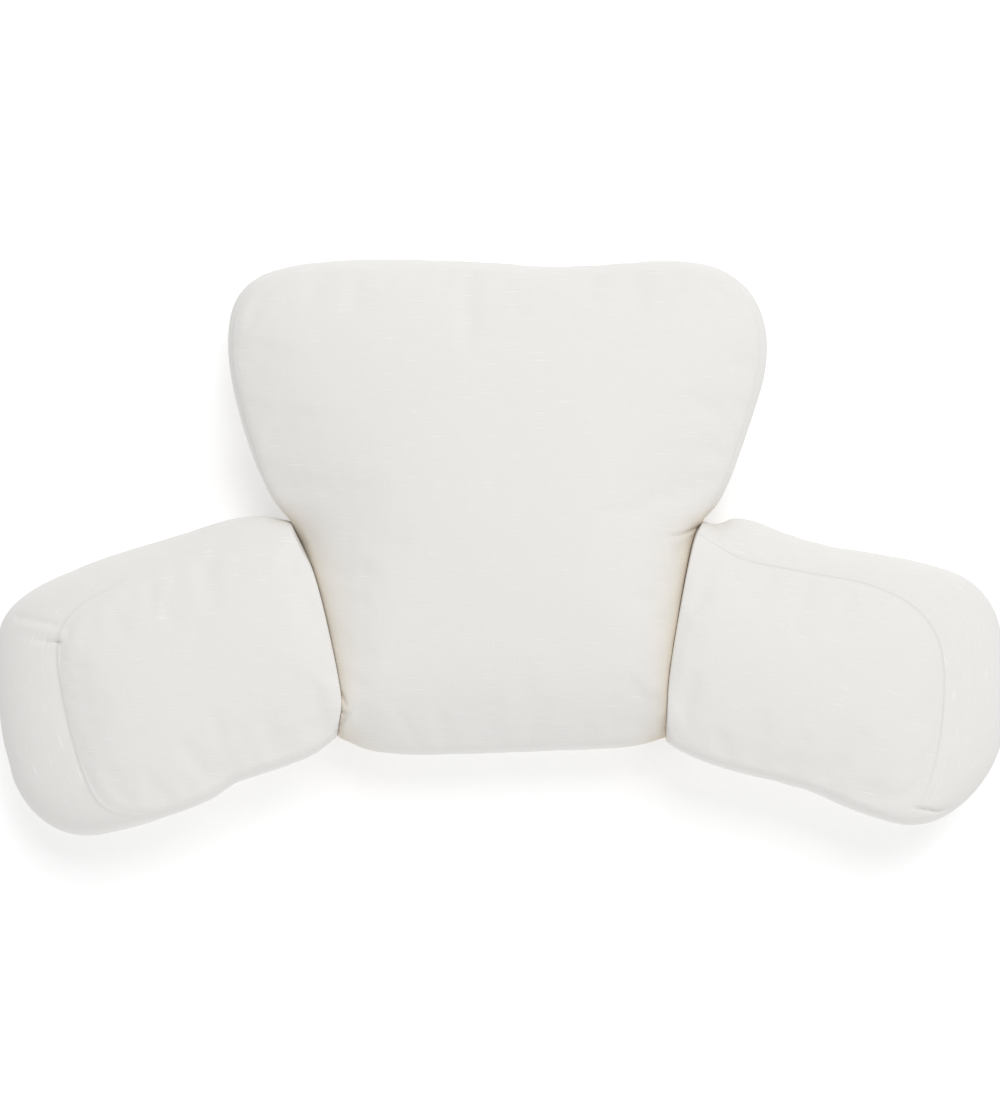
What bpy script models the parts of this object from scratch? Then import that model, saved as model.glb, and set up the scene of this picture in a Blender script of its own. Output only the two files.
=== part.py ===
"""Pram cushion: a filled, winged back cushion with a filled, boxed arm cushion sewn to each side.

It lies on its back, face up. Metres, +X to the right arm as seen from above, +Y to the head end,
+Z up from the surface it lies on. Each cushion is a front panel, a boxing strip and a back panel
sewn round two seams and filled, so each is one closed loft: flat underside, back seam, boxing,
girth, front seam and crown.
"""

import math

import bmesh
import bpy
import numpy as np

# Driving dimensions
GIRTH_Z = 0.036  # height of the widest line round every cushion
BACK_CROWN_Z = 0.100  # top of the back cushion's crown
ARM_CROWN_Z = 0.089  # top of an arm cushion's crown
BACK_RIM_Z = 0.058  # front seam of the back cushion round its free sides
ARM_RIM_Z = 0.074  # front seam of an arm round its free sides
BACK_SEAM_Z = 0.013  # height of the seam round the back panel
BACK_SEAM_IN = 0.011  # how far that seam is drawn in from the girth
REST_IN = 0.024  # how far the flat that rests on the surface is inside the girth
BACK_SHOULDER = 0.60  # how the crown climbs from its seam: 1 is soft, and less is steeper
ARM_SHOULDER = 0.65
HALF_GAP = 0.00015  # each wall of a sewn joint stands this far from the joint's line
BACK_MIDDLE = (0.0, 0.020)  # the point under the crown that the rings of a cushion close round
LEFT_ARM_MIDDLE = (-0.205, -0.080)
RIGHT_ARM_MIDDLE = (0.205, -0.080)

# Loft resolution
CORNER_STEPS = 5  # points on the curve round each outline point
REST_SHARES = (0.45, 0.8)  # rings inside the flat underside, as shares of its size
ROLL_STEPS = 2  # rings between the flat underside and the back seam
BOXING_STEPS = 4  # rings between a seam and the girth
CROWN_SHARES = (0.985, 0.95, 0.89, 0.81, 0.71, 0.58, 0.43, 0.27, 0.12)  # rings inside the front seam
ROLL_ARC = math.radians(60)  # part of a quarter ellipse that the edge of the back panel follows
BOXING_ARC = math.radians(70)  # part of a quarter ellipse that the boxing follows to each seam

# Colours of the off-white cloth, linear RGB
BACK_COLOUR = (0.80, 0.78, 0.74, 1.0)
ARM_COLOUR = (0.79, 0.78, 0.74, 1.0)
CLOTH_ROUGHNESS = 0.9

# The line along which an arm is sewn to the back cushion, from the waist down.
# Columns: point, x and y of the joint, height of the back cushion's front seam there, x, y and height
# of the arm's front seam beside it, corner roundness
LEFT_JOINT = (
    ("waist", -0.1360, 0.0171, 0.053, -0.1333, 0.0093, 0.072, 0.25),
    ("notch", -0.1290, 0.0026, 0.054, -0.1281, -0.0012, 0.074, 1.0),
    ("upper", -0.1175, -0.0190, 0.075, -0.1179, -0.0191, 0.081, 1.0),
    ("lower", -0.1011, -0.0920, 0.083, -0.1015, -0.0921, 0.0845, 1.0),
    ("tail", -0.1022, -0.1070, 0.078, -0.1026, -0.1068, 0.081, 1.0),
    ("foot", -0.1062, -0.1228, 0.050, -0.1074, -0.1194, 0.072, 0.25),
)
RIGHT_JOINT = (
    ("waist", 0.1305, 0.0177, 0.056, 0.1261, 0.0090, 0.072, 0.25),
    ("bend", 0.1240, 0.0093, 0.064, 0.1239, 0.0042, 0.077, 1.0),
    ("upper", 0.1170, -0.0222, 0.077, 0.1174, -0.0222, 0.082, 1.0),
    ("lower", 0.1067, -0.0802, 0.083, 0.1071, -0.0803, 0.0845, 1.0),
    ("tail", 0.1059, -0.1085, 0.077, 0.1063, -0.1083, 0.081, 1.0),
    ("foot", 0.1066, -0.1234, 0.050, 0.1076, -0.1205, 0.072, 0.2),
)

# Outlines of the free sides, clockwise seen from above.
# Columns: point, x and y of the girth, x and y of the front seam
BACK_HEAD = (
    ("neck_left", -0.1517, 0.0335, -0.1489, 0.0343),
    ("side_left", -0.1680, 0.0765, -0.1637, 0.0765),
    ("wing_left", -0.1804, 0.1319, -0.1760, 0.1310),
    ("corner_left", -0.1700, 0.1729, -0.1663, 0.1693),
    ("head_left", -0.1240, 0.1870, -0.1229, 0.1834),
    ("head_mid", -0.0180, 0.1862, -0.0179, 0.1826),
    ("head_dip", 0.0430, 0.1808, 0.0428, 0.1772),
    ("head_right", 0.1270, 0.1890, 0.1257, 0.1853),
    ("corner_right", 0.1638, 0.1697, 0.1602, 0.1662),
    ("wing_right", 0.1757, 0.1290, 0.1709, 0.1282),
    ("side_right", 0.1588, 0.0715, 0.1547, 0.0714),
    ("neck_right", 0.1432, 0.0305, 0.1397, 0.0316),
)
BACK_FOOT = (
    ("foot_right", 0.0853, -0.1300, 0.0850, -0.1274),
    ("foot_mid", 0.0124, -0.1324, 0.0123, -0.1297),
    ("foot_left", -0.0780, -0.1358, -0.0766, -0.1330),
)
LEFT_ARM = (
    ("low_inner", -0.1230, -0.1365, -0.1222, -0.1341),
    ("low_mid", -0.1730, -0.1509, -0.1719, -0.1485),
    ("low_step", -0.1880, -0.1640, -0.1866, -0.1616),
    ("low_outer", -0.2340, -0.1803, -0.2262, -0.1740),
    ("corner_low", -0.2807, -0.1908, -0.2538, -0.1695),
    ("end_low", -0.3152, -0.1638, -0.2673, -0.1439),
    ("end_mid", -0.3263, -0.1136, -0.2775, -0.1093),
    ("end_high", -0.3302, -0.0602, -0.2846, -0.0689),
    ("corner_high", -0.3160, -0.0325, -0.2775, -0.0420),
    ("top_outer", -0.2676, -0.0094, -0.2493, -0.0247),
    ("top_mid", -0.2188, 0.0049, -0.2109, -0.0099),
    ("top_inner", -0.1635, 0.0225, -0.1641, 0.0035),
)
RIGHT_ARM = (
    ("tuck", 0.1400, 0.0140, 0.1379, 0.0010),
    ("top_inner", 0.1556, 0.0212, 0.1540, -0.0087),
    ("top_mid", 0.1985, 0.0032, 0.1949, -0.0163),
    ("top_outer", 0.2631, -0.0068, 0.2365, -0.0228),
    ("corner_high", 0.3110, -0.0205, 0.2698, -0.0407),
    ("end_high", 0.3315, -0.0602, 0.2840, -0.0689),
    ("end_mid", 0.3289, -0.1228, 0.2820, -0.1118),
    ("end_low", 0.3085, -0.1615, 0.2731, -0.1522),
    ("corner_low", 0.2730, -0.1836, 0.2615, -0.1778),
    ("low_outer", 0.2330, -0.1718, 0.2306, -0.1686),
    ("low_mid", 0.1980, -0.1553, 0.1969, -0.1528),
    ("low_inner", 0.1380, -0.1415, 0.1372, -0.1389),
    ("low_corner", 0.1085, -0.1285, 0.1090, -0.1262),
)

# Creases that show from a step away, each a soft trough along a short line.
# Columns: crease, x and y of its start, x and y of its end, depth, half width
BACK_CREASES = (
    ("waist_right", 0.130, 0.016, 0.102, 0.007, 0.004, 0.006),
    ("under_waist_right", 0.124, 0.004, 0.108, -0.018, 0.003, 0.007),
)
LEFT_ARM_CREASES = (
    ("end_tuck", -0.303, -0.0600, -0.280, -0.0600, 0.002, 0.006),
)
RIGHT_ARM_CREASES = (
    ("corner_fold", 0.295, -0.166, 0.266, -0.168, 0.004, 0.006),
    ("corner_dimple", 0.134, 0.015, 0.137, 0.008, 0.004, 0.005),
)


def outline(points, roundness):
    """A closed smooth line near these points: each corner is a curve that starts and ends on its two
    sides, as far along them as its roundness says, where 1 reaches the middle of a side."""
    before = np.roll(points, 1, axis=0)
    after = np.roll(points, -1, axis=0)
    reach = roundness[:, None] / 2
    start = points + (before - points) * reach
    end = points + (after - points) * reach
    steps = [(step + 0.5) / CORNER_STEPS for step in range(CORNER_STEPS)]
    curve = [(1 - t) ** 2 * start + 2 * t * (1 - t) * points + t * t * end for t in steps]
    return np.stack(curve, axis=1).reshape(-1, points.shape[1])


def joint_rows(joint, arm):
    """Rows of the sewn joint: girth x, y, then seam x, y, z, then roundness. The arm's seam lies
    beside the joint's line, and the back cushion's lies on it."""
    return [
        (x, y, *((arm_x, arm_y, arm_z) if arm else (x, y, back_z)), roundness)
        for _, x, y, back_z, arm_x, arm_y, arm_z, roundness in joint
    ]


def free_rows(table, height):
    return [(x, y, seam_x, seam_y, height, 1.0) for _, x, y, seam_x, seam_y in table]


def towards(ring, centre, distance):
    """The ring's points, each moved this far towards the centre."""
    offset = centre - ring
    return ring + offset * (distance / np.linalg.norm(offset, axis=1))[:, None]


def at_height(ring, height):
    return np.column_stack([ring, np.broadcast_to(height, len(ring))])


def arc_rings(inner, outer, arc, steps):
    """Rings from the inner one to the outer one, bulging outwards along part of a quarter ellipse
    that is upright at the outer ring. Neither end is among them."""
    rings = []
    for step in range(1, steps):
        angle = arc * (1 - step / steps)
        drawn_in = (1 - math.cos(angle)) / (1 - math.cos(arc))
        climb = math.sin(angle) / math.sin(arc)
        flat = outer[:, :2] + (inner[:, :2] - outer[:, :2]) * drawn_in
        height = outer[:, 2] + (inner[:, 2] - outer[:, 2]) * climb
        rings.append(at_height(flat, height))
    return rings


def roll_rings(rest, seam):
    """Rings up the soft edge of the back panel: level at the flat, and steep at its seam."""
    rings = []
    for step in range(1, ROLL_STEPS):
        angle = ROLL_ARC * step / ROLL_STEPS
        spread = math.sin(angle) / math.sin(ROLL_ARC)
        climb = (1 - math.cos(angle)) / (1 - math.cos(ROLL_ARC))
        rings.append(at_height(rest[:, :2] + (seam[:, :2] - rest[:, :2]) * spread, seam[:, 2] * climb))
    return rings


def net_stiffness(flat, triangles):
    """The stiffness matrix of a stretched net of triangles, and the area that each point carries."""
    stiffness = np.zeros((len(flat), len(flat)))
    area = np.zeros(len(flat))
    corners = flat[triangles]
    for one, two, three in ((0, 1, 2), (1, 2, 0), (2, 0, 1)):
        first = corners[:, one] - corners[:, three]
        second = corners[:, two] - corners[:, three]
        doubled = np.abs(first[:, 0] * second[:, 1] - first[:, 1] * second[:, 0])
        weight = (first * second).sum(axis=1) / doubled / 2
        a, b = triangles[:, one], triangles[:, two]
        np.add.at(stiffness, (a, b), -weight)
        np.add.at(stiffness, (b, a), -weight)
        np.add.at(stiffness, (a, a), weight)
        np.add.at(stiffness, (b, b), weight)
        np.add.at(area, triangles[:, three], doubled / 6)
    return stiffness, area


def crown_rings(seam, centre, crown_z, shoulder):
    """Rings over the front panel, as a filling pushes it up: a stretched net held at the seam. A
    smaller shoulder makes it climb more steeply from the seam."""
    flat_rings = [centre + (seam[:, :2] - centre) * share for share in (1.0, *CROWN_SHARES)]
    flat = np.vstack([*flat_rings, centre])
    columns = np.arange(len(seam))
    after = np.roll(columns, -1)
    triangles = []
    for ring in range(len(CROWN_SHARES)):
        outer, inner = ring * len(seam), (ring + 1) * len(seam)
        triangles.append(np.column_stack([outer + columns, outer + after, inner + columns]))
        triangles.append(np.column_stack([outer + after, inner + after, inner + columns]))
    last = len(CROWN_SHARES) * len(seam)
    triangles.append(np.column_stack([last + columns, last + after, np.full(len(seam), len(flat) - 1)]))
    stiffness, area = net_stiffness(flat, np.vstack(triangles))

    held, free = slice(0, len(seam)), slice(len(seam), None)
    pull = -stiffness[free, held] @ seam[:, 2]
    level, rise = np.linalg.solve(stiffness[free, free], np.column_stack([pull, area[free]])).T
    top = np.argmax(rise)
    height = level + (crown_z - level[top]) * (rise / rise[top]) ** shoulder
    rings = height[:-1].reshape(-1, len(seam))
    return [at_height(ring, z) for ring, z in zip(flat_rings[1:], rings)], height[-1]


def crease(rings, table):
    """Presses each crease's trough into the points above the girth."""
    for ring in rings:
        for _, start_x, start_y, end_x, end_y, depth, half_width in table:
            start = np.array([start_x, start_y])
            along = np.array([end_x, end_y]) - start
            share = np.clip((ring[:, :2] - start) @ along / (along @ along), 0, 1)
            away = np.linalg.norm(ring[:, :2] - start - share[:, None] * along, axis=1)
            above = np.clip((ring[:, 2] - GIRTH_Z) / GIRTH_Z, 0, 1)
            ring[:, 2] -= depth * above * np.exp(-((away / half_width) ** 2))


def cushion(name, rows, middle, crown_z, shoulder, creases):
    """One whole cushion, lofted through its rings from the underside to the crown."""
    centre = np.array(middle)
    rows = np.array(rows)
    roundness = rows[:, 5]
    girth = towards(outline(rows[:, :2], roundness), centre, HALF_GAP)
    front_seam = outline(rows[:, 2:5], roundness)
    front_seam[:, :2] = towards(front_seam[:, :2], centre, HALF_GAP)
    back_seam = at_height(towards(girth, centre, BACK_SEAM_IN), BACK_SEAM_Z)
    rest = at_height(towards(girth, centre, REST_IN), 0.0)
    girth = at_height(girth, GIRTH_Z)

    rings = [at_height(centre + (rest[:, :2] - centre) * share, 0.0) for share in REST_SHARES]
    rings += [rest, *roll_rings(rest, back_seam), back_seam]
    rings += arc_rings(back_seam, girth, BOXING_ARC, BOXING_STEPS)
    upper = [girth, *arc_rings(front_seam, girth, BOXING_ARC, BOXING_STEPS)[::-1], front_seam]
    crown, middle_z = crown_rings(front_seam, centre, crown_z, shoulder)
    upper += crown
    crease(upper, creases)
    return loft(name, rings + upper, centre, middle_z)


def loft(name, rings, centre, middle_z):
    """One closed mesh through the rings, closed by a fan at the middle of the underside and of the
    crown. Its origin is on the surface, under the cushion's middle."""
    mesh = bpy.data.meshes.new(name)
    shape = bmesh.new()
    origin = np.array([centre[0], centre[1], 0.0])
    rows = [[shape.verts.new(point - origin) for point in ring] for ring in rings]
    bottom = shape.verts.new((0.0, 0.0, 0.0))
    crown = shape.verts.new((0.0, 0.0, middle_z))
    columns = range(len(rows[0]))
    for column in columns:
        after = (column + 1) % len(rows[0])
        shape.faces.new((bottom, rows[0][column], rows[0][after]))
        shape.faces.new((crown, rows[-1][after], rows[-1][column]))
        for lower, upper in zip(rows, rows[1:]):
            shape.faces.new((lower[column], upper[column], upper[after], lower[after]))
    bmesh.ops.recalc_face_normals(shape, faces=shape.faces)
    shape.to_mesh(mesh)
    shape.free()
    mesh.shade_smooth()
    piece = bpy.data.objects.new(name, mesh)
    piece.location = origin
    return piece


def cloth(name, colour):
    material = bpy.data.materials.new(name)
    material.use_nodes = True
    shader = material.node_tree.nodes["Principled BSDF"]
    shader.inputs["Base Color"].default_value = colour
    shader.inputs["Roughness"].default_value = CLOTH_ROUGHNESS
    shader.inputs["Metallic"].default_value = 0.0
    return material


def back_cushion():
    rows = joint_rows(LEFT_JOINT[::-1], False) + free_rows(BACK_HEAD, BACK_RIM_Z)
    rows += joint_rows(RIGHT_JOINT, False) + free_rows(BACK_FOOT, BACK_RIM_Z)
    return cushion("back_cushion", rows, BACK_MIDDLE, BACK_CROWN_Z, BACK_SHOULDER, BACK_CREASES)


def left_arm():
    rows = joint_rows(LEFT_JOINT, True) + free_rows(LEFT_ARM, ARM_RIM_Z)
    return cushion("left_arm", rows, LEFT_ARM_MIDDLE, ARM_CROWN_Z, ARM_SHOULDER, LEFT_ARM_CREASES)


def right_arm():
    rows = joint_rows(RIGHT_JOINT[::-1], True) + free_rows(RIGHT_ARM, ARM_RIM_Z)
    return cushion("right_arm", rows, RIGHT_ARM_MIDDLE, ARM_CROWN_Z, ARM_SHOULDER, RIGHT_ARM_CREASES)


def build():
    for old in list(bpy.data.objects):
        bpy.data.objects.remove(old)
    parts = bpy.data.collections.new("pram_cushion")
    bpy.context.scene.collection.children.link(parts)
    pieces = (
        (back_cushion(), cloth("back_cloth", BACK_COLOUR)),
        (left_arm(), cloth("left_arm_cloth", ARM_COLOUR)),
        (right_arm(), cloth("right_arm_cloth", ARM_COLOUR)),
    )
    for piece, material in pieces:
        piece.data.materials.append(material)
        parts.objects.link(piece)


build()
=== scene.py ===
"""Looks of the pram cushion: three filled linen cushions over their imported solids, seen from above.

Metres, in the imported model's frame: +X to the right arm, +Y to the head end, +Z up from the floor.
Every cushion is rebuilt from the sizes of its solid as a fine net of rings and columns, so that its
seams stay crisp. A cloth simulation on a remeshed copy swells it, and the swelling is carried over.
"""

import math

import bpy
import numpy as np
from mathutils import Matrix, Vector, noise
from mathutils.kdtree import KDTree


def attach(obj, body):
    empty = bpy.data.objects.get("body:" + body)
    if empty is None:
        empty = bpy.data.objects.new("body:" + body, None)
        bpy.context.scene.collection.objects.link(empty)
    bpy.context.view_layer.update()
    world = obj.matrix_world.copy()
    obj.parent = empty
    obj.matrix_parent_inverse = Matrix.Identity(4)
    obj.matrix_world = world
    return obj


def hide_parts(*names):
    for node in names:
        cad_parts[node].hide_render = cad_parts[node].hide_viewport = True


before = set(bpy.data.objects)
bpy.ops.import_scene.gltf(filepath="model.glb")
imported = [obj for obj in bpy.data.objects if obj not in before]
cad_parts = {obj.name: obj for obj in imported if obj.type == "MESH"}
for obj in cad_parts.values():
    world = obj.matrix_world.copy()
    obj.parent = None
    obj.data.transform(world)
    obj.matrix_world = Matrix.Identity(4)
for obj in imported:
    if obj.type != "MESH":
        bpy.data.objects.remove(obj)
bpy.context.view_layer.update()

# Sizes of the solids
GIRTH_Z = 0.036  # height of the widest line round every cushion
BACK_CROWN_Z = 0.100
ARM_CROWN_Z = 0.089
BACK_RIM_Z = 0.058  # front seam of the back cushion round its free sides
ARM_RIM_Z = 0.074  # front seam of an arm round its free sides
BACK_SEAM_Z = 0.013  # seam round the back panel
BACK_SEAM_IN = 0.011
REST_IN = 0.024
HALF_GAP = 0.00001  # half the space between neighbours; between the solids it is wider
BACK_SHOULDER = 0.60  # how the crown climbs from its seam: 1 is soft, and less is steeper
ARM_SHOULDER = 0.65
BACK_MIDDLE = (0.0, 0.020)
LEFT_ARM_MIDDLE = (-0.205, -0.080)
RIGHT_ARM_MIDDLE = (0.205, -0.080)
ROLL_ARC = math.radians(60)
BOXING_ARC = math.radians(70)

# Fineness of the net
CORNER_STEPS = 24  # columns on the curve round each outline point
FINEST = 0.0005  # ring spacing beside a seam
COARSEST = 0.0022  # ring spacing away from it
SPACING_GROWTH = 1.14
INNERMOST_SHARE = 0.03  # the last ring before the middle point
UNDERSIDE_RINGS = 30
ROLL_RINGS = 10
LOWER_BOXING_RINGS = 16
UPPER_BOXING_RINGS = 30
CROWDING = 1.35  # how much the boxing's rings crowd towards its seams
LARGEST_STRIDE = 8  # columns that one face may span where they run together towards the middle
SOLVER_STEPS = 1500
SOLVER_DONE = 1e-7  # the solver stops at this share of the load
SHORTEST = 1e-12  # a normal shorter than this isn't stretched to length 1

# The line along which an arm is sewn to the back cushion, from the waist down.
# Columns: point, x and y of the joint, height of the back cushion's front seam there, x, y and height
# of the arm's front seam beside it, corner roundness, how far the arm's edge bulges over the back, how
# much of the arm's seam shows
LEFT_JOINT = (
    ("waist", -0.1360, 0.0171, 0.053, -0.1333, 0.0093, 0.072, 0.25, 0.0, 0.0),
    ("notch", -0.1290, 0.0026, 0.054, -0.1281, -0.0012, 0.074, 1.0, 0.0, 0.0),
    ("upper", -0.1175, -0.0190, 0.075, -0.1179, -0.0191, 0.081, 1.0, 0.0004, 0.0),
    ("lower", -0.1011, -0.0920, 0.083, -0.1015, -0.0921, 0.0845, 1.0, 0.0004, 0.0),
    ("tail", -0.1022, -0.1070, 0.078, -0.1026, -0.1068, 0.081, 1.0, 0.0004, 0.0),
    ("foot", -0.1062, -0.1228, 0.050, -0.1074, -0.1194, 0.072, 0.25, 0.0, 0.0),
)
RIGHT_JOINT = (
    ("waist", 0.1305, 0.0177, 0.056, 0.1261, 0.0090, 0.072, 0.25, 0.0, 0.6),
    ("bend", 0.1240, 0.0093, 0.064, 0.1239, 0.0042, 0.077, 1.0, 0.0004, 0.0),
    ("upper", 0.1170, -0.0222, 0.077, 0.1174, -0.0222, 0.082, 1.0, 0.0004, 0.0),
    ("lower", 0.1067, -0.0802, 0.083, 0.1071, -0.0803, 0.0845, 1.0, 0.0004, 0.0),
    ("tail", 0.1059, -0.1085, 0.077, 0.1063, -0.1083, 0.081, 1.0, 0.0004, 0.0),
    ("foot", 0.1066, -0.1234, 0.050, 0.1076, -0.1205, 0.072, 0.2, 0.0, 0.0),
)

# Outlines of the free sides, clockwise seen from above.
# Columns: point, x and y of the girth, x and y of the front seam, how much of that seam shows
BACK_HEAD = (
    ("neck_left", -0.1517, 0.0335, -0.1489, 0.0343, 0.9),
    ("side_left", -0.1680, 0.0765, -0.1637, 0.0765, 0.9),
    ("wing_left", -0.1804, 0.1319, -0.1760, 0.1310, 0.8),
    ("corner_left", -0.1700, 0.1729, -0.1663, 0.1693, 0.2),
    ("head_left", -0.1240, 0.1870, -0.1229, 0.1834, 0.0),
    ("head_mid", -0.0180, 0.1862, -0.0179, 0.1826, 0.0),
    ("head_dip", 0.0430, 0.1808, 0.0428, 0.1772, 0.0),
    ("head_right", 0.1270, 0.1890, 0.1257, 0.1853, 0.0),
    ("corner_right", 0.1638, 0.1697, 0.1602, 0.1662, 0.1),
    ("wing_right", 0.1757, 0.1290, 0.1709, 0.1282, 0.5),
    ("side_right", 0.1588, 0.0715, 0.1547, 0.0714, 0.6),
    ("neck_right", 0.1432, 0.0305, 0.1397, 0.0316, 0.5),
)
BACK_FOOT = (
    ("foot_right", 0.0853, -0.1300, 0.0850, -0.1274, 0.3),
    ("foot_mid", 0.0124, -0.1324, 0.0123, -0.1297, 0.3),
    ("foot_left", -0.0780, -0.1358, -0.0766, -0.1330, 0.2),
)
LEFT_ARM = (
    ("low_inner", -0.1230, -0.1365, -0.1222, -0.1341, 0.1),
    ("low_mid", -0.1730, -0.1509, -0.1719, -0.1485, 0.1),
    ("low_step", -0.1880, -0.1640, -0.1866, -0.1616, 0.1),
    ("low_outer", -0.2340, -0.1803, -0.2262, -0.1740, 0.1),
    ("corner_low", -0.2807, -0.1908, -0.2538, -0.1695, 0.6),
    ("end_low", -0.3152, -0.1638, -0.2673, -0.1439, 1.0),
    ("end_mid", -0.3263, -0.1136, -0.2775, -0.1093, 1.0),
    ("end_high", -0.3302, -0.0602, -0.2846, -0.0689, 1.0),
    ("corner_high", -0.3160, -0.0325, -0.2775, -0.0430, 0.5),
    ("top_outer", -0.2676, -0.0094, -0.2493, -0.0247, 0.4),
    ("top_mid", -0.2188, 0.0049, -0.2109, -0.0099, 0.0),
    ("top_inner", -0.1635, 0.0225, -0.1641, 0.0035, 0.0),
)
RIGHT_ARM = (
    ("tuck", 0.1400, 0.0140, 0.1379, 0.0010, 0.8),
    ("top_inner", 0.1556, 0.0212, 0.1540, -0.0087, 1.0),
    ("top_mid", 0.1985, 0.0032, 0.1949, -0.0163, 1.0),
    ("top_outer", 0.2631, -0.0068, 0.2365, -0.0228, 0.9),
    ("corner_high", 0.3110, -0.0205, 0.2698, -0.0407, 0.8),
    ("end_high", 0.3315, -0.0602, 0.2840, -0.0689, 1.0),
    ("end_mid", 0.3289, -0.1228, 0.2820, -0.1118, 1.0),
    ("end_low", 0.3085, -0.1615, 0.2731, -0.1522, 0.4),
    ("corner_low", 0.2730, -0.1836, 0.2615, -0.1778, 0.1),
    ("low_outer", 0.2330, -0.1718, 0.2306, -0.1686, 0.1),
    ("low_mid", 0.1980, -0.1553, 0.1969, -0.1528, 0.3),
    ("low_inner", 0.1380, -0.1415, 0.1372, -0.1389, 0.3),
    ("low_corner", 0.1085, -0.1285, 0.1090, -0.1262, 0.3),
)

CREASE_RISE = 0.012  # creases reach their full depth this far above the girth

# Creases and soft folds, each a trough along a line through its stations. A negative depth is a ridge.
# Columns: x and y of the station, depth, half width
BACK_CREASES = {
    "waist": (
        (0.1285, 0.0142, 0.0034, 0.0012),
        (0.1187, 0.0094, 0.0034, 0.0012),
        (0.1103, 0.0068, 0.0020, 0.0014),
        (0.1020, 0.0078, 0.0000, 0.0022),
    ),
    "waist_shade": ((0.1250, 0.0100, 0.0030, 0.0045), (0.1190, 0.0010, 0.0010, 0.0050)),
    "waist_left": (
        (-0.1318, 0.0115, 0.0012, 0.0022),
        (-0.1284, 0.0016, 0.0055, 0.0030),
        (-0.1238, -0.0090, 0.0030, 0.0022),
        (-0.1200, -0.0180, 0.0000, 0.0016),
    ),
    "waist_bulge": ((0.1240, 0.0200, -0.0015, 0.0060), (0.1060, 0.0140, -0.0003, 0.0080)),
    "under_waist": ((0.1127, -0.0020, 0.0013, 0.0050), (0.1070, -0.0210, 0.0000, 0.0060)),
    "foot_pucker": (
        (-0.1018, -0.0930, 0.0020, 0.0010),
        (-0.0993, -0.1000, 0.0024, 0.0012),
        (-0.0978, -0.1025, 0.0000, 0.0010),
    ),
    "foot_tick": ((-0.1020, -0.1050, 0.0030, 0.0011), (-0.0970, -0.1076, 0.0000, 0.0012)),
    "notch_left": (
        (-0.1026, -0.1085, 0.0000, 0.0016),
        (-0.1044, -0.1165, 0.0050, 0.0030),
        (-0.1058, -0.1230, 0.0050, 0.0040),
    ),
    "notch_right": (
        (0.1060, -0.1060, 0.0000, 0.0020),
        (0.1058, -0.1150, 0.0065, 0.0040),
        (0.1056, -0.1240, 0.0065, 0.0045),
    ),
    "foot_fold": (
        (-0.1000, -0.1010, -0.0008, 0.0020),
        (-0.0935, -0.1120, -0.0010, 0.0030),
        (-0.0880, -0.1200, 0.0000, 0.0040),
    ),
}
LEFT_ARM_CREASES = {
    "end_tuck": (
        (-0.3010, -0.0598, 0.0003, 0.0018),
        (-0.2925, -0.0602, 0.0020, 0.0014),
        (-0.2828, -0.0606, 0.0028, 0.0012),
    ),
    "end_bulge": ((-0.3050, -0.0500, -0.0012, 0.0045), (-0.2810, -0.0548, -0.0012, 0.0030)),
    "end_fold": ((-0.3110, -0.0455, 0.0018, 0.0030), (-0.2870, -0.0490, 0.0012, 0.0022)),
}
RIGHT_ARM_CREASES = {
    "corner_fold": (
        (0.2910, -0.1676, 0.0010, 0.0015),
        (0.2806, -0.1694, 0.0033, 0.0012),
        (0.2700, -0.1675, 0.0033, 0.0012),
        (0.2615, -0.1660, 0.0000, 0.0010),
    ),
    "corner_ridge": ((0.2900, -0.1725, -0.0006, 0.0030), (0.2740, -0.1725, -0.0010, 0.0026)),
    "inner_dimple": ((0.1335, 0.0150, 0.0024, 0.0034), (0.1372, 0.0085, 0.0024, 0.0040)),
}

# Seams: a narrow groove where two panels meet, with small puckers beside it
GROOVE_DEPTH = 0.0007
GROOVE_HALF_WIDTH = 0.0008
PUCKER_HEIGHT = 0.0004
PUCKER_LENGTH = 0.011
PUCKER_REACH = 0.007
PUCKER_SEED = 3  # the puckers' noise lies this many seeds from that of the lumps
SOFT_REACH = 0.0035  # how far the edge is rounded on each side of a seam that doesn't show
SOFT_PASSES = 80
LUMP_HEIGHT = 0.0010  # uneven filling
LUMP_LENGTH = 0.075
LUMP_START = 0.02  # lumps reach their full height this far from the front seam
DRESS_RISE = 0.012  # seams and lumps reach their full size this far above the floor
NOISE_SHIFT = (17.3, 5.1, 9.7)  # from one seed to the next
PAINTED_SHADE_REACH = 0.012  # how far the painted warm shade of a sewn joint reaches over the back cushion
JOINT_LINE_SHADE_SHARE = 0.35  # the darker painted shade right beside the joint reaches this share of that reach
LEFT_JOINT_LINE_SHADE = 0.5  # how strong that darker painted shade is at the left joint

# Cloth simulation
VOXEL = 0.005
PRESSURE = 4.0
SLACK = 0.012  # the cloth is this much longer than the shape it starts from
SWELL_STEPS = 20
MOST_SWELL = 0.005  # no point of the cloth moves further than this
BOXING_SWELL = 0.4  # how much of its swelling the boxing keeps, because its own seams draw it in
HELD_REACH = 0.004  # the cloth is held this near a seam, a sewn side or the flat underside
CARRY_REACH = 0.004  # how wide the copy's swelling is averaged when it is carried to the net
CARRY_COUNT = 16

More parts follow.
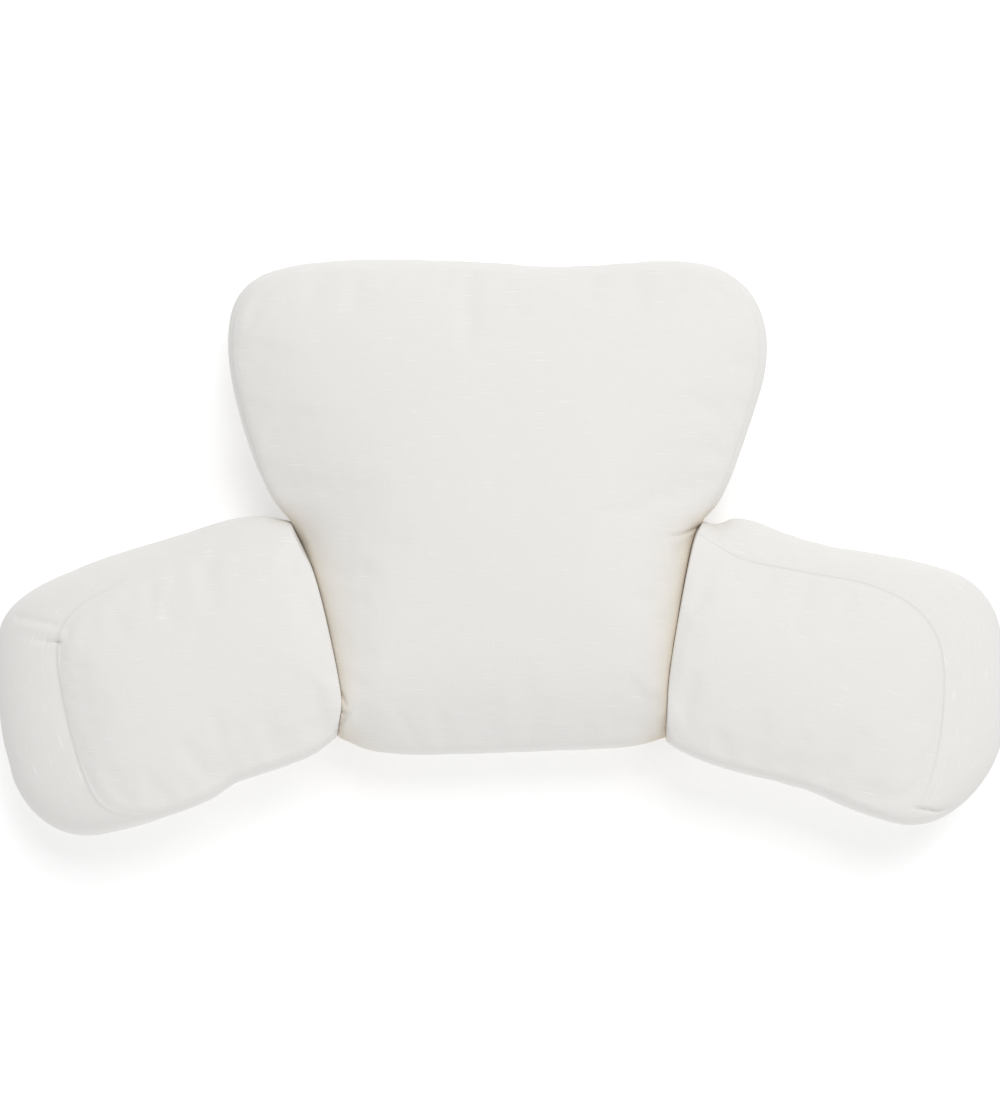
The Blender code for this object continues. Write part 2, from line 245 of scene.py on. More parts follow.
# Linen
YARN = 0.00085  # pitch of the plain weave
SLUB_LENGTH = 0.016
SLUB_WIDTH = 0.0013
WARP_STRETCH = 1.6  # how much longer the warp's slubs are than the weft's
SLUB_DETAIL = 1.5
SLUB_START = 0.72  # the share of the noise over which a slub begins
SLUB_FULL = 0.80
SWAY_SCALE = 30.0  # waves of the yarns in a metre
SWAY = 0.003  # how far the yarns wander
WEFT_SHARE = 0.6
WARP_SHARE = 0.4
RELIEF = 0.00012
WEAVE_RELIEF = 0.3
YARN_RELIEF = 0.25
SLUB_RELIEF = 0.6
WEAVE_TONE = 0.15
YARN_TONE = 0.5
SLUB_TONE = 0.5
LIGHT_LINEN = (0.930, 0.917, 0.898)
DARK_LINEN = (0.845, 0.831, 0.808)
# Painted shade: tints that darken the linen's colour where the mesh says, warm shade over the back
# cushion beside a sewn joint, a darker shade right at the joint, and grey shade along a showing seam's
# groove
PAINTED_SHADE_TINTS = {
    "painted_joint_shade": (0.93, 0.885, 0.80),
    "painted_joint_line_shade": (0.82, 0.765, 0.69),
    "groove": (0.91, 0.91, 0.91),
}
LINEN_ROUGHNESS = 0.95
LINEN_SPECULAR = 0.2
RIGHT_ARM_TURN = math.radians(-12)  # how the yarns are turned on the right arm's panels

# Studio
FLOOR_SIZE = 24.0
FLOOR_TONE = 0.85
FLOOR_GLOW = 0.30
SKY_STRENGTH = 0.52
LIT_POINT = (0.0, 0.0, 0.05)
KEY_PLACE = (0.9, 2.4, 3.8)
KEY_SIZE = 2.5
KEY_POWER = 85.0
FILL_PLACE = (0.4, -2.6, 2.4)
FILL_SIZE = 2.0
FILL_POWER = 21.0

# Camera: straight above, in the photograph's frame of 1000 by 1100
CAMERA_HEIGHT = 2.2
FRAMED_HEIGHT = 0.040  # the height at which the picture is FRAME_WIDTH wide
FRAME_WIDTH = 0.650
SENSOR_WIDTH = 36.0
CAMERA_X = -0.0007
CAMERA_Y = -0.0016


def outline(points, roundness):
    """A closed smooth line near these points: each corner is a curve that starts and ends on its two
    sides, as far along them as its roundness says, where 1 reaches the middle of a side."""
    before = np.roll(points, 1, axis=0)
    after = np.roll(points, -1, axis=0)
    reach = roundness[:, None] / 2
    start = points + (before - points) * reach
    end = points + (after - points) * reach
    shares = [(step + 0.5) / CORNER_STEPS for step in range(CORNER_STEPS)]
    curve = [(1 - t) ** 2 * start + 2 * t * (1 - t) * points + t * t * end for t in shares]
    return np.stack(curve, axis=1).reshape(-1, points.shape[1])


def joint_rows(joint, arm):
    """Outline rows of the sewn joint, for the arm or for the back cushion. Columns: x and y of the
    girth, x, y and height of the front seam, corner roundness, whether it is sewn to a neighbour, how
    much of its seam shows, how far its edge bulges over the neighbour."""
    rows = []
    for _, x, y, back_z, arm_x, arm_y, arm_z, roundness, bulge, shows in joint:
        if arm:
            rows.append((x, y, arm_x, arm_y, arm_z, roundness, 1.0, shows, bulge))
        else:
            rows.append((x, y, x, y, back_z, roundness, 1.0, 0.0, 0.0))
    return rows


def free_rows(table, height):
    """Outline rows of a free side, in the same columns, with its front seam at this height."""
    return [
        (x, y, seam_x, seam_y, height, 1.0, 0.0, shows, 0.0) for _, x, y, seam_x, seam_y, shows in table
    ]


def towards(ring, centre, distance):
    """The flat ring with each point moved this far towards the centre."""
    offset = centre - ring
    return ring + offset * (distance / np.linalg.norm(offset, axis=1))[:, None]


def at_height(ring, height):
    """The flat ring lifted to this height, or each point to its own."""
    return np.column_stack([ring, np.broadcast_to(height, len(ring))])


def arc_rings(inner, outer, steps):
    """Rings from the inner one to the outer one, bulging outwards along part of a quarter ellipse
    that is upright at the outer ring. Neither end is among them."""
    rings = []
    for step in range(1, steps):
        angle = BOXING_ARC * (1 - (step / steps) ** CROWDING)
        drawn_in = (1 - math.cos(angle)) / (1 - math.cos(BOXING_ARC))
        climb = math.sin(angle) / math.sin(BOXING_ARC)
        flat = outer[:, :2] + (inner[:, :2] - outer[:, :2]) * drawn_in
        height = outer[:, 2] + (inner[:, 2] - outer[:, 2]) * climb
        rings.append(at_height(flat, height))
    return rings


def roll_rings(rest, seam):
    """Rings that roll up from the flat rest face to the seam round the back panel, without either."""
    rings = []
    for step in range(1, ROLL_RINGS):
        angle = ROLL_ARC * step / ROLL_RINGS
        spread = math.sin(angle) / math.sin(ROLL_ARC)
        climb = (1 - math.cos(angle)) / (1 - math.cos(ROLL_ARC))
        rings.append(at_height(rest[:, :2] + (seam[:, :2] - rest[:, :2]) * spread, seam[:, 2] * climb))
    return rings


def net_edges(flat, triangles):
    """The springs of a stretched net of triangles, and the area that each point carries."""
    area = np.zeros(len(flat))
    corners = flat[triangles]
    starts, ends, weights = [], [], []
    for one, two, three in ((0, 1, 2), (1, 2, 0), (2, 0, 1)):
        first = corners[:, one] - corners[:, three]
        second = corners[:, two] - corners[:, three]
        doubled = np.abs(first[:, 0] * second[:, 1] - first[:, 1] * second[:, 0])
        starts.append(triangles[:, one])
        ends.append(triangles[:, two])
        weights.append((first * second).sum(axis=1) / doubled / 2)
        area += np.bincount(triangles[:, three], doubled / 6, len(flat))
    return np.concatenate(starts), np.concatenate(ends), np.concatenate(weights), area


def solve(springs, load, held, guess):
    """The heights at which the springs balance the load, by conjugate gradients. Held points keep
    the height of the guess."""
    start, end, weight = springs
    count = len(guess)
    stiffness = np.bincount(start, weight, count) + np.bincount(end, weight, count)

    def force(height):
        across = weight * (height[start] - height[end])
        return np.bincount(start, across, count) - np.bincount(end, across, count)

    height = guess.copy()
    free = ~held
    goal = SOLVER_DONE * np.linalg.norm((load - force(guess * held)) * free)
    left = (load - force(height)) * free
    step = left / stiffness
    worth = left @ step
    for _ in range(SOLVER_STEPS):
        pushed = force(step) * free
        length = worth / (step @ pushed)
        height += length * step
        left -= length * pushed
        if np.linalg.norm(left) < goal:
            break
        scaled = left / stiffness
        new_worth = left @ scaled
        step = scaled + new_worth / worth * step
        worth = new_worth
    return height


def graded_shares(radius):
    """Shares of a panel's size from its seam inwards: close together by the seam, then wider."""
    shares, depth, gap = [], 0.0, FINEST
    while True:
        depth += gap
        gap = min(gap * SPACING_GROWTH, COARSEST)
        share = 1 - depth / radius
        if share < INNERMOST_SHARE:
            return shares
        shares.append(share)


def crown_rings(centre, seam, crown_z, shoulder):
    """Rings over the front panel, as a filling pushes it up: a stretched net held at the seam. A
    smaller shoulder makes it climb more steeply from the seam."""
    radius = np.linalg.norm(seam[:, :2] - centre, axis=1).mean()
    shares = [1.0, *graded_shares(radius)]
    count = len(seam)
    flat_rings = [centre + (seam[:, :2] - centre) * share for share in shares]
    flat = np.vstack([*flat_rings, centre])
    column = np.arange(count)
    after = np.roll(column, -1)
    triangles = []
    for ring in range(len(shares) - 1):
        outer, inner = ring * count, (ring + 1) * count
        triangles.append(np.column_stack([outer + column, outer + after, inner + column]))
        triangles.append(np.column_stack([outer + after, inner + after, inner + column]))
    last = (len(shares) - 1) * count
    triangles.append(np.column_stack([last + column, last + after, np.full(count, len(flat) - 1)]))
    *springs, area = net_edges(flat, np.vstack(triangles))
    held = np.arange(len(flat)) < count

    mean = seam[:, 2].mean()
    guess = np.append(np.concatenate([mean + (seam[:, 2] - mean) * share for share in shares]), mean)
    level = solve(springs, np.zeros(len(flat)), held, guess)
    guess = np.repeat([radius**2 * (1 - share**2) / 4 for share in shares], count)
    rise = np.maximum(solve(springs, area, held, np.append(guess, radius**2 / 4)), 0)
    top = np.argmax(rise)
    height = level + (crown_z - level[top]) * (rise / rise[top]) ** shoulder
    rings = height[count:-1].reshape(-1, count)
    return [at_height(ring, z) for ring, z in zip(flat_rings[1:], rings)]


def shape_of(rows, middle, crown_z, shoulder):
    """The fine net of one cushion: its rings, and which ring is which seam."""
    centre = np.array(middle)
    rows = np.array(rows)
    roundness = rows[:, 5]
    girth = towards(outline(rows[:, :2], roundness), centre, HALF_GAP)
    seam = outline(rows[:, 2:5], roundness)
    sewn, shows, bulge = outline(rows[:, 6:9], roundness).T
    seam[:, :2] = towards(seam[:, :2], centre, HALF_GAP - bulge)
    back_seam = at_height(towards(girth, centre, BACK_SEAM_IN), BACK_SEAM_Z)
    rest = at_height(towards(girth, centre, REST_IN), 0.0)
    girth = at_height(girth, GIRTH_Z)

    rings = []
    for ring in range(UNDERSIDE_RINGS):
        share = INNERMOST_SHARE + (1 - INNERMOST_SHARE) * ring / UNDERSIDE_RINGS
        rings.append(at_height(centre + (rest[:, :2] - centre) * share, 0.0))
    rings += [rest, *roll_rings(rest, back_seam)]
    back_seam_ring = len(rings)
    rings += [back_seam, *arc_rings(back_seam, girth, LOWER_BOXING_RINGS), girth]
    girth_ring = len(rings) - 1
    rings += arc_rings(seam, girth, UPPER_BOXING_RINGS)[::-1]
    front_seam_ring = len(rings)
    rings += [seam, *crown_rings(centre, seam, crown_z, shoulder)]
    return {
        "net": np.stack(rings),
        "centre": centre,
        "back_seam": back_seam_ring,
        "girth": girth_ring,
        "front_seam": front_seam_ring,
        "sewn": sewn,
        "shows": shows,
    }


def net_normals(net):
    """Outward normals of the net's points."""
    round_it = np.roll(net, -1, axis=1) - np.roll(net, 1, axis=1)
    up_it = np.gradient(net, axis=0)
    normal = np.cross(round_it, up_it)
    return normal / np.maximum(np.linalg.norm(normal, axis=2, keepdims=True), SHORTEST)


def noise_field(points, length, seed):
    """Smooth noise from about -1 to 1 at each point, with lumps about this long."""
    shift = Vector([seed * step for step in NOISE_SHIFT])
    flat = points.reshape(-1, 3) / length
    values = [noise.noise(Vector(point) + shift) for point in flat]
    return np.array(values).reshape(points.shape[:-1])


def travelled(net):
    """How far each point is from the first ring, along its own column."""
    steps = np.linalg.norm(np.diff(net, axis=0), axis=2)
    return np.vstack([np.zeros(net.shape[1]), np.cumsum(steps, axis=0)])


def seam_distance(net, ring):
    """How far each point is from the seam at this ring, along its own column."""
    length = travelled(net)
    return np.abs(length - length[ring])


def soften(shape):
    """Rounds the edge where the front seam doesn't show and isn't sewn to a neighbour."""
    net = shape["net"]
    near = np.exp(-((seam_distance(net, shape["front_seam"]) / SOFT_REACH) ** 2))
    weight = (near * (1 - shape["shows"]) * (1 - shape["sewn"]))[..., None]
    weight[: shape["girth"] + 1] = 0
    for _ in range(SOFT_PASSES):
        middle = (net[:-2] + net[2:]) / 2
        net[1:-1] += (middle - net[1:-1]) * weight[1:-1]


def crease(net, creases):
    """Presses each crease's trough into the points above the girth."""
    above = np.clip((net[..., 2] - GIRTH_Z) / CREASE_RISE, 0, 1)
    for stations in creases.values():
        nearest = np.full(net.shape[:2], np.inf)
        trough = np.zeros(net.shape[:2])
        for start, end in zip(np.array(stations), np.array(stations)[1:]):
            along = end[:2] - start[:2]
            share = np.clip((net[..., :2] - start[:2]) @ along / (along @ along), 0, 1)
            away = np.linalg.norm(net[..., :2] - start[:2] - share[..., None] * along, axis=-1)
            depth, half_width = (start[2:, None, None] + (end - start)[2:, None, None] * share)
            trough = np.where(away < nearest, depth * np.exp(-((away / half_width) ** 2)), trough)
            nearest = np.minimum(away, nearest)
        net[..., 2] -= trough * above


def copy_in_voxels(net):
    """A closed copy of the net with even faces, for the cloth simulation."""
    rings, columns = net.shape[:2]
    number = np.arange(rings * columns).reshape(rings, columns)
    after = np.roll(number, -1, axis=1)
    faces = np.stack([number[:-1], after[:-1], after[1:], number[1:]], axis=2).reshape(-1, 4).tolist()
    faces += [number[0, ::-1].tolist(), number[-1].tolist()]
    mesh = bpy.data.meshes.new("swelling")
    mesh.from_pydata(net.reshape(-1, 3).tolist(), [], faces)
    body = bpy.data.objects.new("swelling", mesh)
    bpy.context.scene.collection.objects.link(body)
    bpy.context.view_layer.objects.active = body
    remesh = body.modifiers.new("remesh", "REMESH")
    remesh.mode = "VOXEL"
    remesh.voxel_size = VOXEL
    bpy.ops.object.modifier_apply(modifier=remesh.name)
    return body


def points_of(mesh):
    """Coordinates of the mesh's points, one row each."""
    points = np.empty(len(mesh.vertices) * 3)
    mesh.vertices.foreach_get("co", points)
    return points.reshape(-1, 3)


def tree_of(points):
    """A search tree of these points."""
    tree = KDTree(len(points))
    for number, point in enumerate(points.tolist()):
        tree.insert(point, number)
    tree.balance()
    return tree


def blown_up(body, still):
    """Runs the cloth simulation on this body, which is held at its still points, and gives how far
    every point moved."""
    before = points_of(body.data)
    tree = tree_of(still)
    held = [number for number, point in enumerate(before.tolist()) if tree.find(point)[2] < HELD_REACH]
    body.vertex_groups.new(name="held").add(held, 1.0, "REPLACE")
    cloth = body.modifiers.new("cloth", "CLOTH")
    cloth.settings.vertex_group_mass = "held"
    cloth.settings.use_pressure = True
    cloth.settings.uniform_pressure_force = PRESSURE
    cloth.settings.shrink_min = -SLACK
    cloth.settings.effector_weights.gravity = 0.0
    cloth.point_cache.frame_end = SWELL_STEPS
    for step in range(1, SWELL_STEPS + 1):
        bpy.context.scene.frame_set(step)
    bpy.ops.object.modifier_apply(modifier=cloth.name)
    bpy.context.scene.frame_set(1)
    moved = points_of(body.data) - before
    return before, moved * min(1, MOST_SWELL / np.linalg.norm(moved, axis=1).max())


def swell(shape):
    """Blows the cushion up as its filling does. Its seams, its sewn side and its underside stay."""
    net = shape["net"]
    seams = [shape["back_seam"], shape["front_seam"]]
    wall = slice(shape["back_seam"], shape["front_seam"])
    sewn = shape["sewn"] > 0.5
    still = np.vstack([net[: shape["back_seam"]].reshape(-1, 3), net[seams].reshape(-1, 3),
                       net[wall, sewn].reshape(-1, 3)])
    body = copy_in_voxels(net)
    before, moved = blown_up(body, still)
    bpy.data.objects.remove(body)

    tree = tree_of(before)
    above = net[shape["back_seam"]:]
    carried = np.empty((len(above) * above.shape[1], 3))
    for number, point in enumerate(above.reshape(-1, 3).tolist()):
        near = tree.find_n(point, CARRY_COUNT)
        weights = np.exp([-((distance / CARRY_REACH) ** 2) for _, _, distance in near])
        carried[number] = weights @ moved[[index for _, index, _ in near]] / weights.sum()
    free = np.ones(net.shape[:2])
    free[: shape["back_seam"]] = 0
    for seam in seams:
        free *= 1 - np.exp(-((seam_distance(net, seam) / HELD_REACH) ** 2))
    free[wall] *= (1 - shape["sewn"]) * BOXING_SWELL
    net[shape["back_seam"]:] += carried.reshape(above.shape) * free[shape["back_seam"]:, :, None]


def dress(shape, seed):
    """Adds the seams' grooves and puckers and the uneven filling to the net."""
    net = shape["net"]
    normal = net_normals(net)
    to_front = seam_distance(net, shape["front_seam"])
    to_back = seam_distance(net, shape["back_seam"])
    wall = np.arange(len(net)) <= shape["front_seam"]
    free = 1 - shape["sewn"][None, :] * wall[:, None]
    lift = np.clip(net[..., 2] / DRESS_RISE, 0, 1)
    push = noise_field(net, LUMP_LENGTH, seed) * LUMP_HEIGHT * np.clip(to_front / LUMP_START, 0, 1)
    pucker = noise_field(net, PUCKER_LENGTH, seed + PUCKER_SEED) * PUCKER_HEIGHT
    for distance, shows in ((to_front, shape["shows"]), (to_back, 1 - shape["sewn"])):
        push += pucker * np.exp(-distance / PUCKER_REACH)
        push -= shows * GROOVE_DEPTH * np.exp(-((distance / GROOVE_HALF_WIDTH) ** 2))
    shape["net"] = net + normal * (push * free * lift)[..., None]
    shape["net"][..., 2] = np.maximum(shape["net"][..., 2], 0.0)


def painted_shades(shape, joint_shade_painted):
    """How strongly each point has the painted shade of a sewn joint, if this cushion gets it there, and
    the painted shade of the front seam's groove, from 0 to 1."""
    net = shape["net"]
    away = np.linalg.norm(net[..., :2] - net[shape["girth"], :, :2], axis=2)
    away[: shape["girth"]] = 0
    under = slice(0, shape["back_seam"])
    away[under] = seam_distance(net, shape["back_seam"])[under]
    near = shape["sewn"] * joint_shade_painted
    strength = np.where(net[..., 0] < 0, LEFT_JOINT_LINE_SHADE, 1.0)
    from_seam = seam_distance(net, shape["front_seam"])
    # Painted shade: warm shade beside a sewn joint, darker right at it, and grey shade in the seam's
    # groove
    return {
        "painted_joint_shade": near * np.exp(-away / PAINTED_SHADE_REACH),
        "painted_joint_line_shade": near * strength * np.exp(-away / (PAINTED_SHADE_REACH * JOINT_LINE_SHADE_SHARE)),
        "groove": shape["shows"] * np.exp(-((from_seam / GROOVE_HALF_WIDTH) ** 2)),
    }


def cloth_places(shape, turn):
    """Where each point lies on its flat cloth, in metres. A panel is laid out from its middle by the
    length of the cloth along each column, and turned by this angle. The boxing runs round the girth."""
    net = shape["net"]
    outwards = net[..., :2] - shape["centre"]
    out = np.linalg.norm(outwards, axis=2)
    length = travelled(net)
    under = out[0] + length
    over = out[-1] + length[-1] - length
    ring = np.arange(len(net))[:, None]
    from_middle = np.where(ring <= shape["back_seam"], under, over)
    flat = outwards * (from_middle / out)[..., None] + shape["centre"]
    x, y = flat[..., 0], flat[..., 1]
    cos, sin = math.cos(turn), math.sin(turn)
    panel = np.stack([x * cos + y * sin, y * cos - x * sin], axis=2)
    girth = net[shape["girth"]]
    sides = np.linalg.norm(np.roll(girth, -1, axis=0) - girth, axis=1)
    along = np.concatenate([[0.0], np.cumsum(sides)])
    across = (length - length[shape["back_seam"]]).mean(axis=1)
    return panel, along, across


def strides(net):
    """How many columns a face spans at each ring: more where the columns run together, and never
    more than twice the stride next door."""
    spacing = np.linalg.norm(np.roll(net, -1, axis=1) - net, axis=2).mean(axis=1)
    wanted = []
    for gap in spacing:
        stride = 1
        while stride < LARGEST_STRIDE and gap * stride < COARSEST / 2:
            stride *= 2
        wanted.append(stride)
    for ring in [*range(1, len(wanted)), *range(len(wanted) - 2, -1, -1)]:
        near = wanted[max(ring - 1, 0) : ring + 2]
        wanted[ring] = min(wanted[ring], 2 * min(near))
    return wanted


def ring_faces(columns, low, high):
    """Corners of the faces between two rings with these strides: whether each is on the upper ring,
    and its column."""
    step = max(low, high)
    first = np.arange(0, columns, step)
    lower = [(0, first + k * low) for k in range(step // low + 1)]
    upper = [(1, first + k * high) for k in range(step // high + 1)]
    return lower + upper[::-1]


def mesh_of(name, shape, turn, strengths):
    """The net as one closed mesh, with the cloth's own coordinates and the strengths of its painted
    shades on it.
    """
    net = shape["net"]
    rings, columns = net.shape[:2]
    panel, along, across = cloth_places(shape, turn)
    stride = strides(net)
    faces, places = [], []

    def put(ring_of, column_of, boxing):
        """Adds the faces whose corners are at these rings and columns."""
        corners = np.stack(column_of, axis=1)
        ring_at = np.stack([np.full(len(corners), ring) for ring in ring_of], axis=1)
        faces.extend((ring_at * columns + corners % columns).tolist())
        if boxing:
            places.append(np.stack([along[corners], across[ring_at]], axis=2).reshape(-1, 2))
        else:
            places.append(panel[ring_at, corners % columns].reshape(-1, 2))

    for ring in range(rings - 1):
        corners = ring_faces(columns, stride[ring], stride[ring + 1])
        boxing = shape["back_seam"] <= ring < shape["front_seam"]
        put([ring + upper for upper, _ in corners], [column for _, column in corners], boxing)

    bottom, top = rings * columns, rings * columns + 1
    for ring, end in ((0, bottom), (rings - 1, top)):
        column = np.arange(0, columns, stride[ring])
        after = (column + stride[ring]) % columns
        pair = (after, column) if end == bottom else (column, after)
        tips = np.full(len(column), end)
        faces.extend(np.column_stack([tips, *(ring * columns + side for side in pair)]).tolist())
        middle = np.broadcast_to(panel[ring].mean(axis=0), (len(column), 2))
        places.append(np.stack([middle, *(panel[ring, side] for side in pair)], axis=1).reshape(-1, 2))

    points = np.vstack([net.reshape(-1, 3), net[0].mean(axis=0), net[-1].mean(axis=0)])
    used = np.unique(np.concatenate([np.array(face) for face in faces]))
    number = np.zeros(len(points), int)
    number[used] = np.arange(len(used))
    faces = [[int(number[corner]) for corner in face] for face in faces]

    mesh = bpy.data.meshes.new(name)
    mesh.from_pydata(points[used].tolist(), [], faces)
    layer = mesh.uv_layers.new(name="cloth")
    layer.uv.foreach_set("vector", np.vstack(places).ravel().astype(np.float32))
    # each attribute is the strength of one painted shade
    for shade, strength in strengths.items():
        values = np.append(strength.ravel(), [0.0, 0.0])[used].astype(np.float32)
        mesh.attributes.new(shade, "FLOAT", "POINT").data.foreach_set("value", values)
    mesh.update()
    mesh.shade_smooth()
    return mesh


class Nodes:
    """Short ways to add and join shader nodes."""

    def __init__(self, material):
        material.use_nodes = True
        self.tree = material.node_tree
        self.shader = self.tree.nodes["Principled BSDF"]

    def add(self, kind, **settings):
        node = self.tree.nodes.new(kind)
        for key, value in settings.items():
            setattr(node, key, value)
        return node

    def join(self, source, target):
        self.tree.links.new(source, target)

    def math(self, operation, first, second=None):
        node = self.add("ShaderNodeMath", operation=operation)
        for place, value in zip(node.inputs, (first, second)):
            if isinstance(value, (int, float)):
                place.default_value = value
            elif value is not None:
                self.join(value, place)
        return node.outputs[0]

    def vector(self, x, y):
        node = self.add("ShaderNodeCombineXYZ")
        self.join(x, node.inputs[0])
        self.join(y, node.inputs[1])
        return node.outputs[0]

    def noise(self, place, detail=1.0):
        node = self.add("ShaderNodeTexNoise")
        node.inputs["Scale"].default_value = 1.0
        node.inputs["Detail"].default_value = detail
        self.join(place, node.inputs["Vector"])
        return node.outputs[0]

    def ramp(self, value, low, high):
        """Value taken from between low and high to between 0 and 1, and held there."""
        node = self.add("ShaderNodeMapRange")
        node.inputs["From Min"].default_value = low
        node.inputs["From Max"].default_value = high
        self.join(value, node.inputs["Value"])
        return node.outputs[0]


def linen(name):
    """Matt off-white slub linen: a fine plain weave, with thicker yarn here and there, and painted shade
    beside the sewn joints and along the seams' grooves.
    """
    material = bpy.data.materials.new(name)
    nodes = Nodes(material)
    shader = nodes.shader
    shader.inputs["Roughness"].default_value = LINEN_ROUGHNESS
    shader.inputs["Specular IOR Level"].default_value = LINEN_SPECULAR

    def scaled(value, factor):
        return nodes.math("MULTIPLY", value, factor)

    place = nodes.add("ShaderNodeUVMap", uv_map="cloth").outputs[0]
    split = nodes.add("ShaderNodeSeparateXYZ")
    nodes.join(place, split.inputs[0])
    u, v = split.outputs[0], split.outputs[1]

    sway = nodes.noise(nodes.vector(scaled(u, SWAY_SCALE), scaled(v, SWAY_SCALE)))
    sway = scaled(nodes.math("SUBTRACT", sway, 0.5), SWAY)
    weft_v = nodes.math("ADD", v, sway)
    warp_u = nodes.math("ADD", u, sway)

    long_u = nodes.math("DIVIDE", u, SLUB_LENGTH)
    long_v = nodes.math("DIVIDE", v, SLUB_LENGTH * WARP_STRETCH)
    weft_place = nodes.vector(long_u, nodes.math("DIVIDE", weft_v, SLUB_WIDTH))
    warp_place = nodes.vector(nodes.math("DIVIDE", warp_u, SLUB_WIDTH), long_v)
    weft = nodes.noise(weft_place, SLUB_DETAIL)
    warp = nodes.noise(warp_place, SLUB_DETAIL)
    slub = nodes.ramp(nodes.noise(weft_place, 0.0), SLUB_START, SLUB_FULL)

    across = nodes.math("SINE", scaled(warp_u, math.pi / YARN))
    along = nodes.math("SINE", scaled(weft_v, math.pi / YARN))
    crossing = nodes.math("ABSOLUTE", nodes.math("MULTIPLY", across, along))
    weave = nodes.math("SQRT", crossing)

    yarn = nodes.math("ADD", scaled(weft, WEFT_SHARE), scaled(warp, WARP_SHARE))
    height = nodes.math("ADD", scaled(weave, WEAVE_RELIEF), scaled(yarn, YARN_RELIEF))
    height = nodes.math("ADD", height, scaled(slub, SLUB_RELIEF))
    bump = nodes.add("ShaderNodeBump")
    bump.inputs["Strength"].default_value = 1.0
    bump.inputs["Distance"].default_value = RELIEF
    nodes.join(height, bump.inputs["Height"])
    nodes.join(bump.outputs[0], shader.inputs["Normal"])

    tone = nodes.math("ADD", scaled(yarn, YARN_TONE), scaled(slub, SLUB_TONE))
    tone = nodes.math("ADD", tone, scaled(weave, WEAVE_TONE))
    mix = nodes.add("ShaderNodeMix", data_type="RGBA")
    mix.inputs["A"].default_value = (*DARK_LINEN, 1.0)
    mix.inputs["B"].default_value = (*LIGHT_LINEN, 1.0)
    nodes.join(tone, mix.inputs["Factor"])

    result = mix
    # Painted shade: each tint darkens the colour as strongly as its attribute on the mesh says
    for shade, tint in PAINTED_SHADE_TINTS.items():
        strength = nodes.add("ShaderNodeAttribute", attribute_name=shade)
        shaded = nodes.add("ShaderNodeMix", data_type="RGBA", blend_type="MULTIPLY")
        nodes.join(strength.outputs["Fac"], shaded.inputs["Factor"])
        nodes.join(result.outputs["Result"], shaded.inputs["A"])
        shaded.inputs["B"].default_value = (*tint, 1.0)
        result = shaded
    nodes.join(result.outputs["Result"], shader.inputs["Base Color"])
    return material


def floor_material():
    """Plain pale matt floor that glows a little."""
    material = bpy.data.materials.new("floor")
    shader = Nodes(material).shader
    shader.inputs["Base Color"].default_value = (FLOOR_TONE, FLOOR_TONE, FLOOR_TONE, 1.0)
    shader.inputs["Roughness"].default_value = 1.0
    shader.inputs["Specular IOR Level"].default_value = 0.0
    shader.inputs["Emission Color"].default_value = (1.0, 1.0, 1.0, 1.0)
    shader.inputs["Emission Strength"].default_value = FLOOR_GLOW
    return material


def add_piece(name, node, mesh, material):
    """Puts the mesh in the scene as the padded cover of this node."""
    piece = bpy.data.objects.new(name, mesh)
    bpy.context.scene.collection.objects.link(piece)
    piece.data.materials.append(material)
    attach(piece, "root")
    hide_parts(node)
    return piece


def area_light(name, place, size, power):
    """A square lamp that is turned to the cushions."""
    data = bpy.data.lights.new(name, "AREA")
    data.shape = "SQUARE"
    data.size = size
    data.energy = power
    light = bpy.data.objects.new(name, data)
    light.location = place
    light.rotation_euler = (Vector(LIT_POINT) - Vector(place)).to_track_quat("-Z", "Y").to_euler()
    bpy.context.scene.collection.objects.link(light)


def studio():
    """Floor, even light from all sides and two soft lamps."""
    bpy.ops.mesh.primitive_plane_add(size=FLOOR_SIZE)
    floor = bpy.context.object
    floor.name = "floor"
    floor.data.materials.append(floor_material())
    world = bpy.data.worlds.new("studio")
    world.use_nodes = True
    sky = world.node_tree.nodes["Background"]
    sky.inputs["Color"].default_value = (1.0, 1.0, 1.0, 1.0)
    sky.inputs["Strength"].default_value = SKY_STRENGTH
    bpy.context.scene.world = world
    area_light("key", KEY_PLACE, KEY_SIZE, KEY_POWER)
    area_light("fill", FILL_PLACE, FILL_SIZE, FILL_POWER)
    bpy.context.scene.view_settings.view_transform = "Standard"


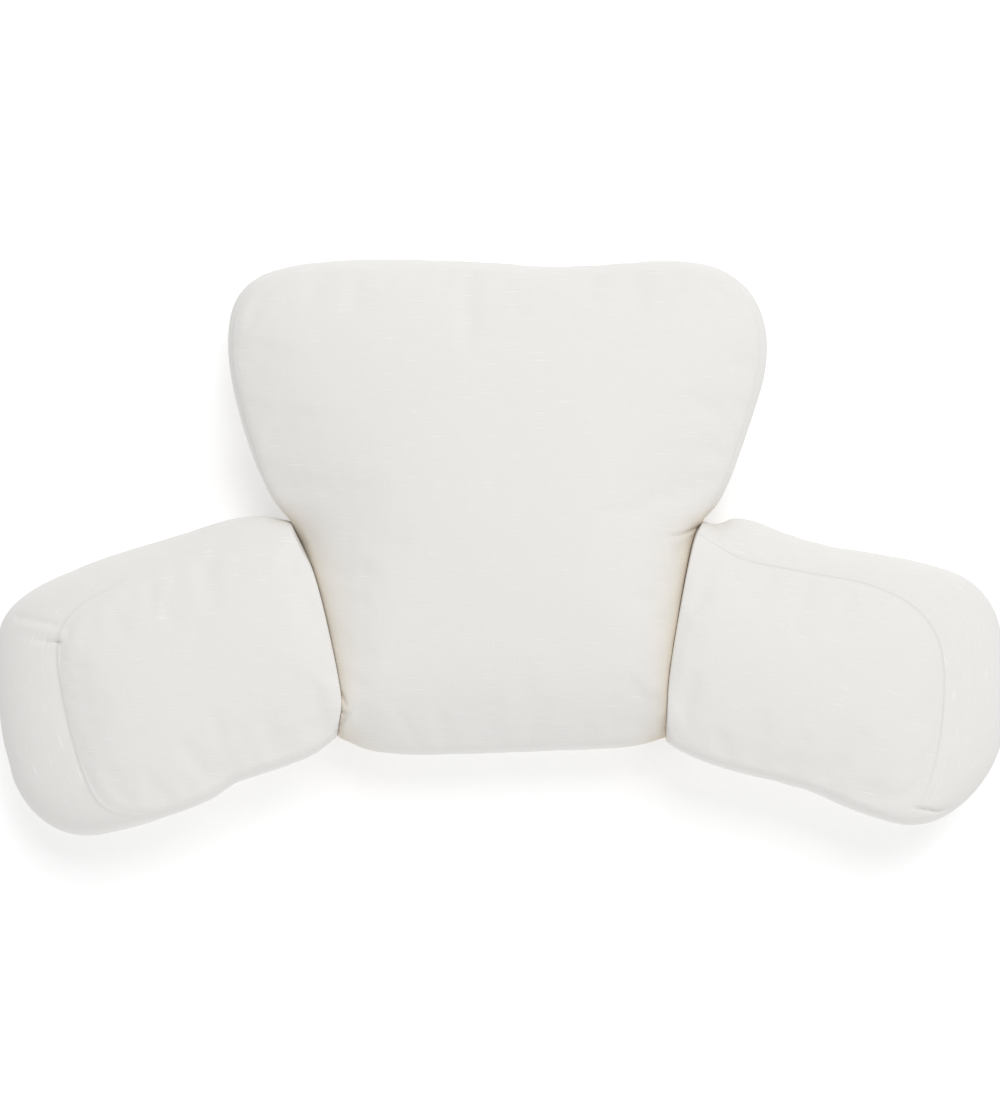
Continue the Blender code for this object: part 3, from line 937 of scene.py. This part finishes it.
def camera():
    """The camera, which looks straight down."""
    data = bpy.data.cameras.new("camera")
    data.sensor_fit = "HORIZONTAL"
    data.sensor_width = SENSOR_WIDTH
    data.lens = SENSOR_WIDTH * (CAMERA_HEIGHT - FRAMED_HEIGHT) / FRAME_WIDTH
    eye = bpy.data.objects.new("camera", data)
    eye.location = (CAMERA_X, CAMERA_Y, CAMERA_HEIGHT)
    bpy.context.scene.collection.objects.link(eye)
    bpy.context.scene.camera = eye


camera()
studio()

back_rows = joint_rows(LEFT_JOINT[::-1], False) + free_rows(BACK_HEAD, BACK_RIM_Z)
back_rows += joint_rows(RIGHT_JOINT, False) + free_rows(BACK_FOOT, BACK_RIM_Z)
left_rows = joint_rows(LEFT_JOINT, True) + free_rows(LEFT_ARM, ARM_RIM_Z)
right_rows = joint_rows(RIGHT_JOINT[::-1], True) + free_rows(RIGHT_ARM, ARM_RIM_Z)

# Columns: piece, node, slot, outline, middle, height of the crown, shoulder, creases, turn of the yarns,
# whether painted shade goes beside its joints, fill, seed
PIECES = (
    ("back_cover", "back_cushion", "back_cloth", back_rows, BACK_MIDDLE, BACK_CROWN_Z, BACK_SHOULDER,
     BACK_CREASES, 0.0, True, 0.75, 1),
    ("left_arm_cover", "left_arm", "arm_cloth", left_rows, LEFT_ARM_MIDDLE, ARM_CROWN_Z, ARM_SHOULDER,
     LEFT_ARM_CREASES, 0.0, False, 0.85, 2),
    ("right_arm_cover", "right_arm", "arm_cloth", right_rows, RIGHT_ARM_MIDDLE, ARM_CROWN_Z, ARM_SHOULDER,
     RIGHT_ARM_CREASES, RIGHT_ARM_TURN, False, 0.85, 3),
)
cloth = linen("linen")
for name, node, slot, rows, middle, crown_z, shoulder, creases, turn, joint_shade_painted, fill, seed in PIECES:
    shape = shape_of(rows, middle, crown_z, shoulder)
    swell(shape)
    soften(shape)
    crease(shape["net"], creases)
    dress(shape, seed)
    mesh = mesh_of(name, shape, turn, painted_shades(shape, joint_shade_painted))
    add_piece(name, node, mesh, cloth)
